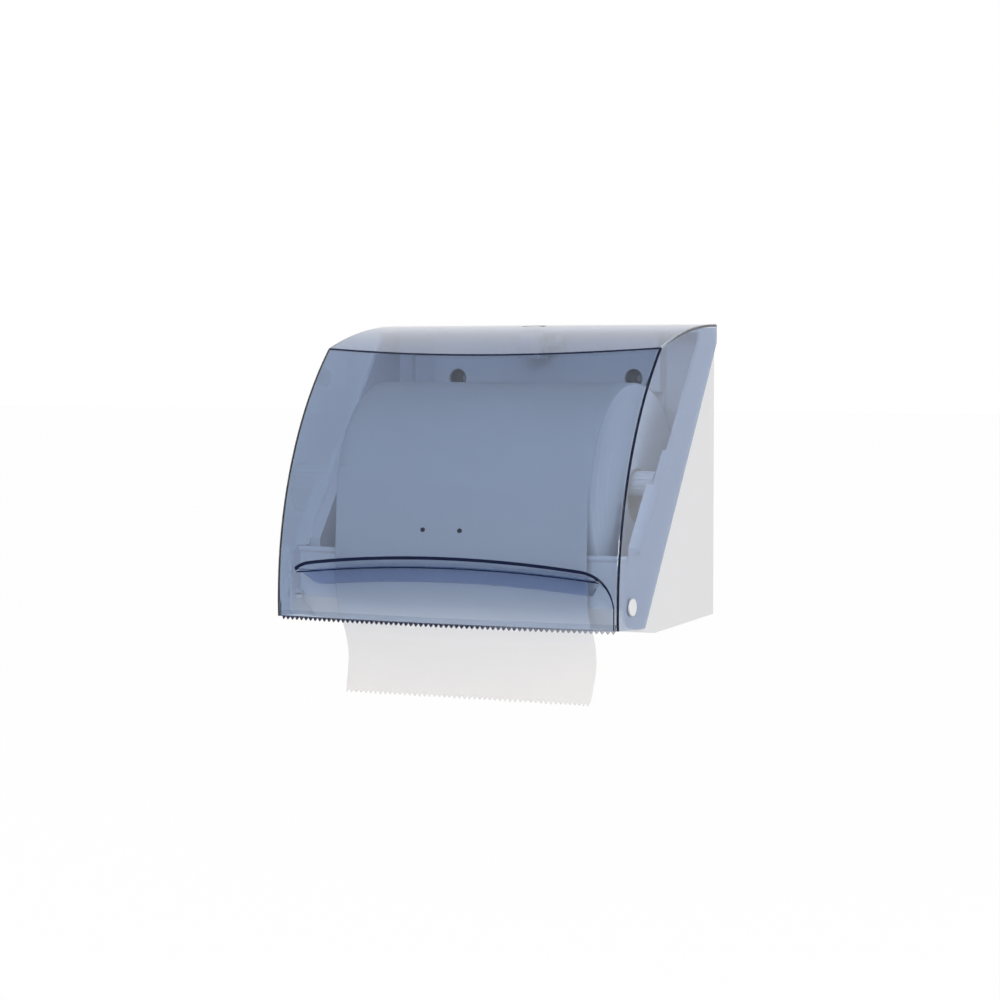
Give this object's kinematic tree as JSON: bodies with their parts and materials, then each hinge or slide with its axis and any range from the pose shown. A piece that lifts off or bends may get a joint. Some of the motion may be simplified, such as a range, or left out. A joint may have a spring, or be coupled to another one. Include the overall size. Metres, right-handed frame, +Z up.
{
  "type": "wall roll dispenser",
  "caption": "Wall-mounted dispenser for a paper or film roll: white housing, hinged tinted clear cover with a serrated tear edge, spindle on brackets, push latch.",
  "frame": {"origin": "on the wall plane, at mid width, level with the bottom edge of the housing's back", "axes": "+X to the right seen from the front, +Y towards the wall, +Z up"},
  "size_m": [0.3342, 0.2433, 0.3316],
  "materials": {
    "white_plastic": "satin white moulded plastic",
    "tinted_plastic": "clear blue-grey tinted moulded plastic, polished",
    "grey_plastic": "satin off-white extruded plastic",
    "steel": "zinc-plated steel",
    "cardboard": "wound grey-brown cardboard",
    "paper": "soft white embossed paper web"
  },
  "bodies": {
    "base": {"rear_housing": "white_plastic", "hinge_pin_right": "white_plastic", "hinge_pin_left": "white_plastic", "bracket_right": "white_plastic", "bracket_left": "white_plastic", "bracket_screws_right": "steel", "bracket_screws_left": "steel", "latch_guide": "white_plastic", "latch_guide_screws": "steel", "latch_spring": "steel", "paper_tail": "paper"},
    "cover": {"front_cover": "tinted_plastic", "tear_bar": "tinted_plastic"},
    "spindle": {"spindle_tube": "grey_plastic", "spindle_cap_right": "grey_plastic", "spindle_cap_left": "grey_plastic"},
    "roll": {"roll_core": "cardboard", "paper_roll": "paper"},
    "latch": {"latch_plunger": "white_plastic"}
  },
  "joints": [
    {"name": "cover_hinge", "type": "hinge", "parent": "base", "child": "cover", "pos_m": [0, -0.204, 0.023], "axis": [1, 0, 0], "range_deg": [0, 90], "deforming": ["paper_tail"]},
    {"name": "roll_spin", "type": "hinge", "parent": "base", "child": "roll", "pos_m": [0, -0.1105, 0.11378], "axis": [1, 0, 0], "continuous": true},
    {"name": "spindle_spin", "type": "hinge", "parent": "base", "child": "spindle", "pos_m": [0, -0.1105, 0.1242], "axis": [1, 0, 0], "continuous": true},
    {"name": "latch_press", "type": "slide", "parent": "base", "child": "latch", "axis": [0, 0, -1], "range_m": [0, 0.003], "stiffness_N_per_m": 500, "springref_m": -0.004, "deforming": ["latch_spring"]}
  ],
  "couplings": [
    {"joint": "spindle_spin", "follows": "roll_spin", "ratio": 1.9545}
  ]
}
